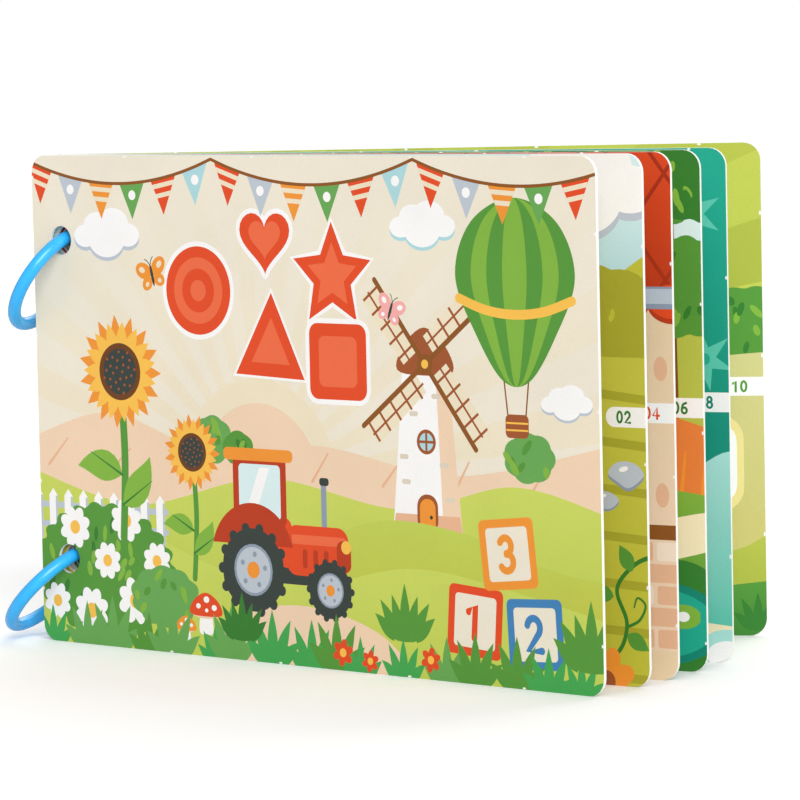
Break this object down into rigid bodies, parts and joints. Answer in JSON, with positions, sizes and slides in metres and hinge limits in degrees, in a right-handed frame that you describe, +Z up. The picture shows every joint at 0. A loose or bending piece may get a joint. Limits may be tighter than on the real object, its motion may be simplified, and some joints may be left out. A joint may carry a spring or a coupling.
{
  "type": "quiet book",
  "caption": "Ring-bound toddler activity book with stiff laminated picture leaves on two plastic snap rings, standing fanned.",
  "frame": {"origin": "under the middle of the standing book, on the surface that its bottom edges rest on", "axes": "+X along the back leaf from its spine to its free edge, +Y out of the back leaf's back face, +Z up along the spine"},
  "size_m": [0.2232, 0.134, 0.142],
  "materials": {
    "core_board": "satin white polypropylene core",
    "printed_film": "printed sheet under satin clear laminate",
    "ring_plastic": "glossy sky-blue moulded plastic"
  },
  "bodies": {
    "cover": {"cover_core": "core_board", "cover_front_print": "printed_film", "cover_back_print": "printed_film"},
    "leaf_02": {"leaf_02_core": "core_board", "leaf_02_front_print": "printed_film", "leaf_02_back_print": "printed_film"},
    "leaf_04": {"leaf_04_core": "core_board", "leaf_04_front_print": "printed_film", "leaf_04_back_print": "printed_film"},
    "leaf_06": {"leaf_06_core": "core_board", "leaf_06_front_print": "printed_film", "leaf_06_back_print": "printed_film"},
    "leaf_08": {"leaf_08_core": "core_board", "leaf_08_front_print": "printed_film", "leaf_08_back_print": "printed_film"},
    "leaf_10": {"leaf_10_core": "core_board", "leaf_10_front_print": "printed_film", "leaf_10_back_print": "printed_film"},
    "upper_ring": {"upper_ring_arc": "ring_plastic", "upper_ring_pin": "ring_plastic"},
    "upper_gate": {"upper_ring_gate": "ring_plastic"},
    "lower_ring": {"lower_ring_arc": "ring_plastic", "lower_ring_pin": "ring_plastic"},
    "lower_gate": {"lower_ring_gate": "ring_plastic"}
  },
  "joints": [
    {"name": "leaf_08_turn", "type": "hinge", "parent": "leaf_10", "child": "leaf_08", "pos_m": [-0.10179, 0.0503, 0.071], "axis": [0, 0, -1], "range_deg": [-14.6, 9]},
    {"name": "leaf_06_turn", "type": "hinge", "parent": "leaf_08", "child": "leaf_06", "pos_m": [-0.10179, 0.0503, 0.071], "axis": [0, 0, -1], "range_deg": [-4.8, 9]},
    {"name": "leaf_04_turn", "type": "hinge", "parent": "leaf_06", "child": "leaf_04", "pos_m": [-0.10179, 0.0503, 0.071], "axis": [0, 0, -1], "range_deg": [-4.3, 9]},
    {"name": "leaf_02_turn", "type": "hinge", "parent": "leaf_04", "child": "leaf_02", "pos_m": [-0.10179, 0.0503, 0.071], "axis": [0, 0, -1], "range_deg": [-3.5, 9]},
    {"name": "cover_turn", "type": "hinge", "parent": "leaf_02", "child": "cover", "pos_m": [-0.10179, 0.0503, 0.071], "axis": [0, 0, -1], "range_deg": [-5, 52]},
    {"name": "upper_ring_swing", "type": "hinge", "parent": "leaf_10", "child": "upper_ring", "pos_m": [-0.08699, 0.04603, 0.119], "axis": [0.2773, 0.9608, 0], "range_deg": [-5.2, 54.1]},
    {"name": "lower_ring_swing", "type": "hinge", "parent": "leaf_10", "child": "lower_ring", "pos_m": [-0.08699, 0.04603, 0.0262], "axis": [0.2773, 0.9608, 0], "range_deg": [-3.8, 39]},
    {"name": "upper_gate_open", "type": "hinge", "parent": "upper_ring", "child": "upper_gate", "pos_m": [-0.09621, 0.06311, 0.09922], "axis": [-0.7918, 0.2285, 0.5664], "range_deg": [0, 45]},
    {"name": "lower_gate_open", "type": "hinge", "parent": "lower_ring", "child": "lower_gate", "pos_m": [-0.09946, 0.06405, 0.00923], "axis": [-0.6794, 0.1961, 0.7071], "range_deg": [0, 45]}
  ],
  "couplings": [
    {"joint": "upper_ring_swing", "follows": "cover_turn", "ratio": 1.04},
    {"joint": "lower_ring_swing", "follows": "cover_turn", "ratio": 0.75}
  ]
}
